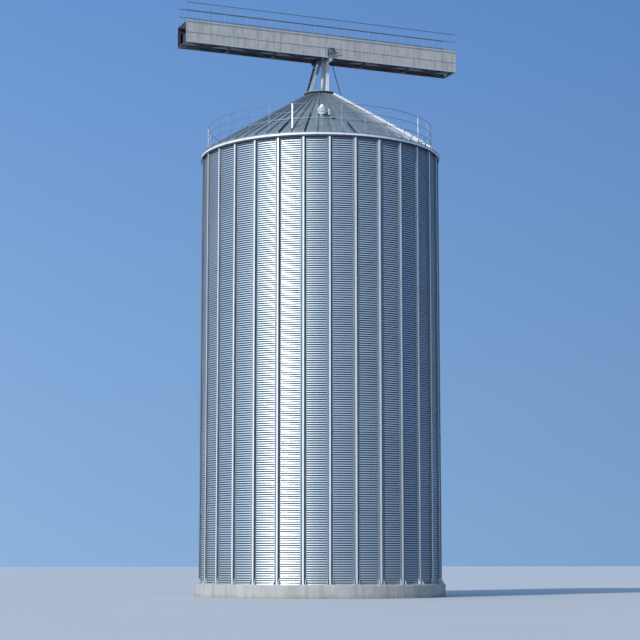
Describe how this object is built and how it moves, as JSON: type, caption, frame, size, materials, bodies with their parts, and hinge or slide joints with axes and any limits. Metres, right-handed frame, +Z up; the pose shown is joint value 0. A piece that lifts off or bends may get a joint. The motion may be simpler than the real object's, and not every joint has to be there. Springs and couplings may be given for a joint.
{
  "type": "corrugated steel grain silo with a stretch of conveyor bridge",
  "caption": "Round corrugated steel grain silo with ribbed cone roof, guard rail, peak trestle and a stretch of conveyor bridge over its peak.",
  "frame": {"origin": "on the ground, on the silo's axis, under the middle of the bounding box", "axes": "+Z up along the silo's axis, +X along the conveyor bridge, +Y across it"},
  "size_m": [14.4, 11.96, 28.2744],
  "materials": {
    "wall_galvanised": "corrugated galvanised sheet, weathered",
    "roof_galvanised": "dull galvanised sheet with dust and streaks",
    "bright_galvanised": "bright galvanised flashing and rails",
    "weathered_steel": "grey weathered plate",
    "dark_steel": "dark grey painted section steel",
    "white_paint": "white paint, slightly dusty",
    "concrete": "cast concrete with streaks"
  },
  "bodies": {
    "root": {"foundation_ring": "concrete", "floor_slab": "concrete", "base_ring": "wall_galvanised", "wall_sector_01": "wall_galvanised", "wall_sector_02": "wall_galvanised", "wall_sector_03": "wall_galvanised", "wall_sector_04": "wall_galvanised", "wall_sector_05": "wall_galvanised", "wall_sector_06": "wall_galvanised", "wall_sector_07": "wall_galvanised", "wall_sector_08": "wall_galvanised", "wall_sector_09": "wall_galvanised", "wall_sector_10": "wall_galvanised", "eave_ring": "bright_galvanised", "roof_sector_1": "roof_galvanised", "roof_sector_2": "roof_galvanised", "roof_sector_3": "roof_galvanised", "roof_sector_4": "roof_galvanised", "roof_sector_5": "roof_galvanised", "roof_sector_6": "roof_galvanised", "roof_lap_ring": "bright_galvanised", "peak_ring": "weathered_steel", "peak_lid_left": "weathered_steel", "peak_lid_right": "weathered_steel", "peak_lid_near": "weathered_steel", "peak_lid_far": "weathered_steel", "roof_ladder": "bright_galvanised", "roof_vent": "white_paint", "guard_rail_1": "bright_galvanised", "guard_rail_2": "bright_galvanised", "guard_rail_3": "bright_galvanised", "guard_rail_4": "bright_galvanised", "guard_rail_5": "bright_galvanised", "support_legs_left": "dark_steel", "support_columns_right": "white_paint", "grain_spout": "weathered_steel", "bridge_stay": "weathered_steel", "gate_drive": "dark_steel", "bridge_girder_near": "weathered_steel", "bridge_girder_far": "weathered_steel", "bridge_deck": "weathered_steel", "bridge_rail_near": "weathered_steel", "bridge_rail_far": "weathered_steel", "bridge_floor_frame": "dark_steel", "conveyor_casing": "dark_steel"}
  },
  "joints": []
}
